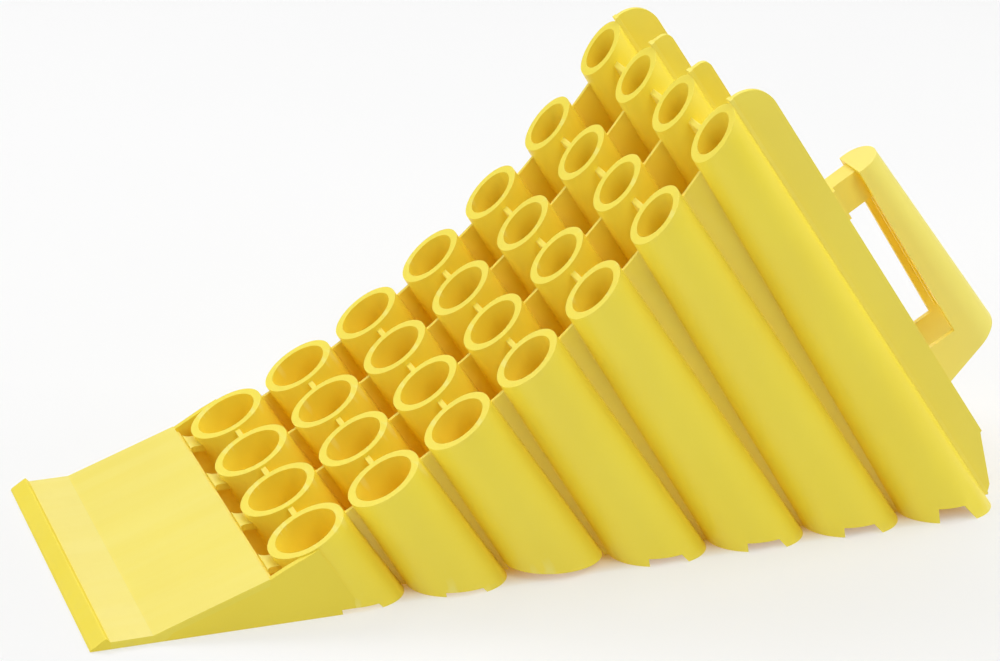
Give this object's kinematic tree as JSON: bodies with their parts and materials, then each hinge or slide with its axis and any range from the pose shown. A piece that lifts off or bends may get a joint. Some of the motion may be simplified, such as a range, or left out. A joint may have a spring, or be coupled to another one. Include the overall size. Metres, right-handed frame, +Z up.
{
  "type": "wheel chock",
  "caption": "Moulded yellow wheel chock: concave tyre ramp of open leaning tubes joined by thin webs, flat ramp tongue in front, rear fins and a loop carrying handle.",
  "frame": {"origin": "on the ground plane, midway between the nose and the rearmost point of the handle, on the middle plane between the two sides", "axes": "+X runs rearward from the tongue (the tyre side) to the handle, +Y towards the far side, +Z up from the ground"},
  "size_m": [0.467, 0.1802, 0.215],
  "materials": {
    "tube_plastic": "satin",
    "web_plastic": "satin",
    "tongue_plastic": "satin",
    "fin_plastic": "satin",
    "handle_plastic": "satin"
  },
  "bodies": {
    "root": {"tube_a1": "tube_plastic", "tube_a2": "tube_plastic", "tube_a3": "tube_plastic", "tube_a4": "tube_plastic", "tube_a5": "tube_plastic", "tube_a6": "tube_plastic", "tube_a7": "tube_plastic", "tube_b1": "tube_plastic", "tube_b2": "tube_plastic", "tube_b3": "tube_plastic", "tube_b4": "tube_plastic", "tube_b5": "tube_plastic", "tube_b6": "tube_plastic", "tube_b7": "tube_plastic", "tube_c1": "tube_plastic", "tube_c2": "tube_plastic", "tube_c3": "tube_plastic", "tube_c4": "tube_plastic", "tube_c5": "tube_plastic", "tube_c6": "tube_plastic", "tube_c7": "tube_plastic", "tube_d1": "tube_plastic", "tube_d2": "tube_plastic", "tube_d3": "tube_plastic", "tube_d4": "tube_plastic", "tube_d5": "tube_plastic", "tube_d6": "tube_plastic", "tube_d7": "tube_plastic", "long_webs_a": "web_plastic", "long_webs_b": "web_plastic", "long_webs_c": "web_plastic", "long_webs_d": "web_plastic", "cross_webs_1": "web_plastic", "cross_webs_2": "web_plastic", "cross_webs_3": "web_plastic", "cross_webs_4": "web_plastic", "cross_webs_5": "web_plastic", "cross_webs_6": "web_plastic", "cross_webs_7": "web_plastic", "nose_lip": "tongue_plastic", "tongue_plate": "tongue_plastic", "tongue_ledge": "tongue_plastic", "tab_a": "tongue_plastic", "tab_b": "tongue_plastic", "tab_c": "tongue_plastic", "tab_d": "tongue_plastic", "skirt_near": "tongue_plastic", "skirt_far": "tongue_plastic", "fin_a": "fin_plastic", "fin_b": "fin_plastic", "fin_c": "fin_plastic", "fin_d": "fin_plastic", "handle_grip": "handle_plastic", "handle_rib": "handle_plastic", "upper_arm": "handle_plastic", "arm_root": "handle_plastic"}
  },
  "joints": []
}
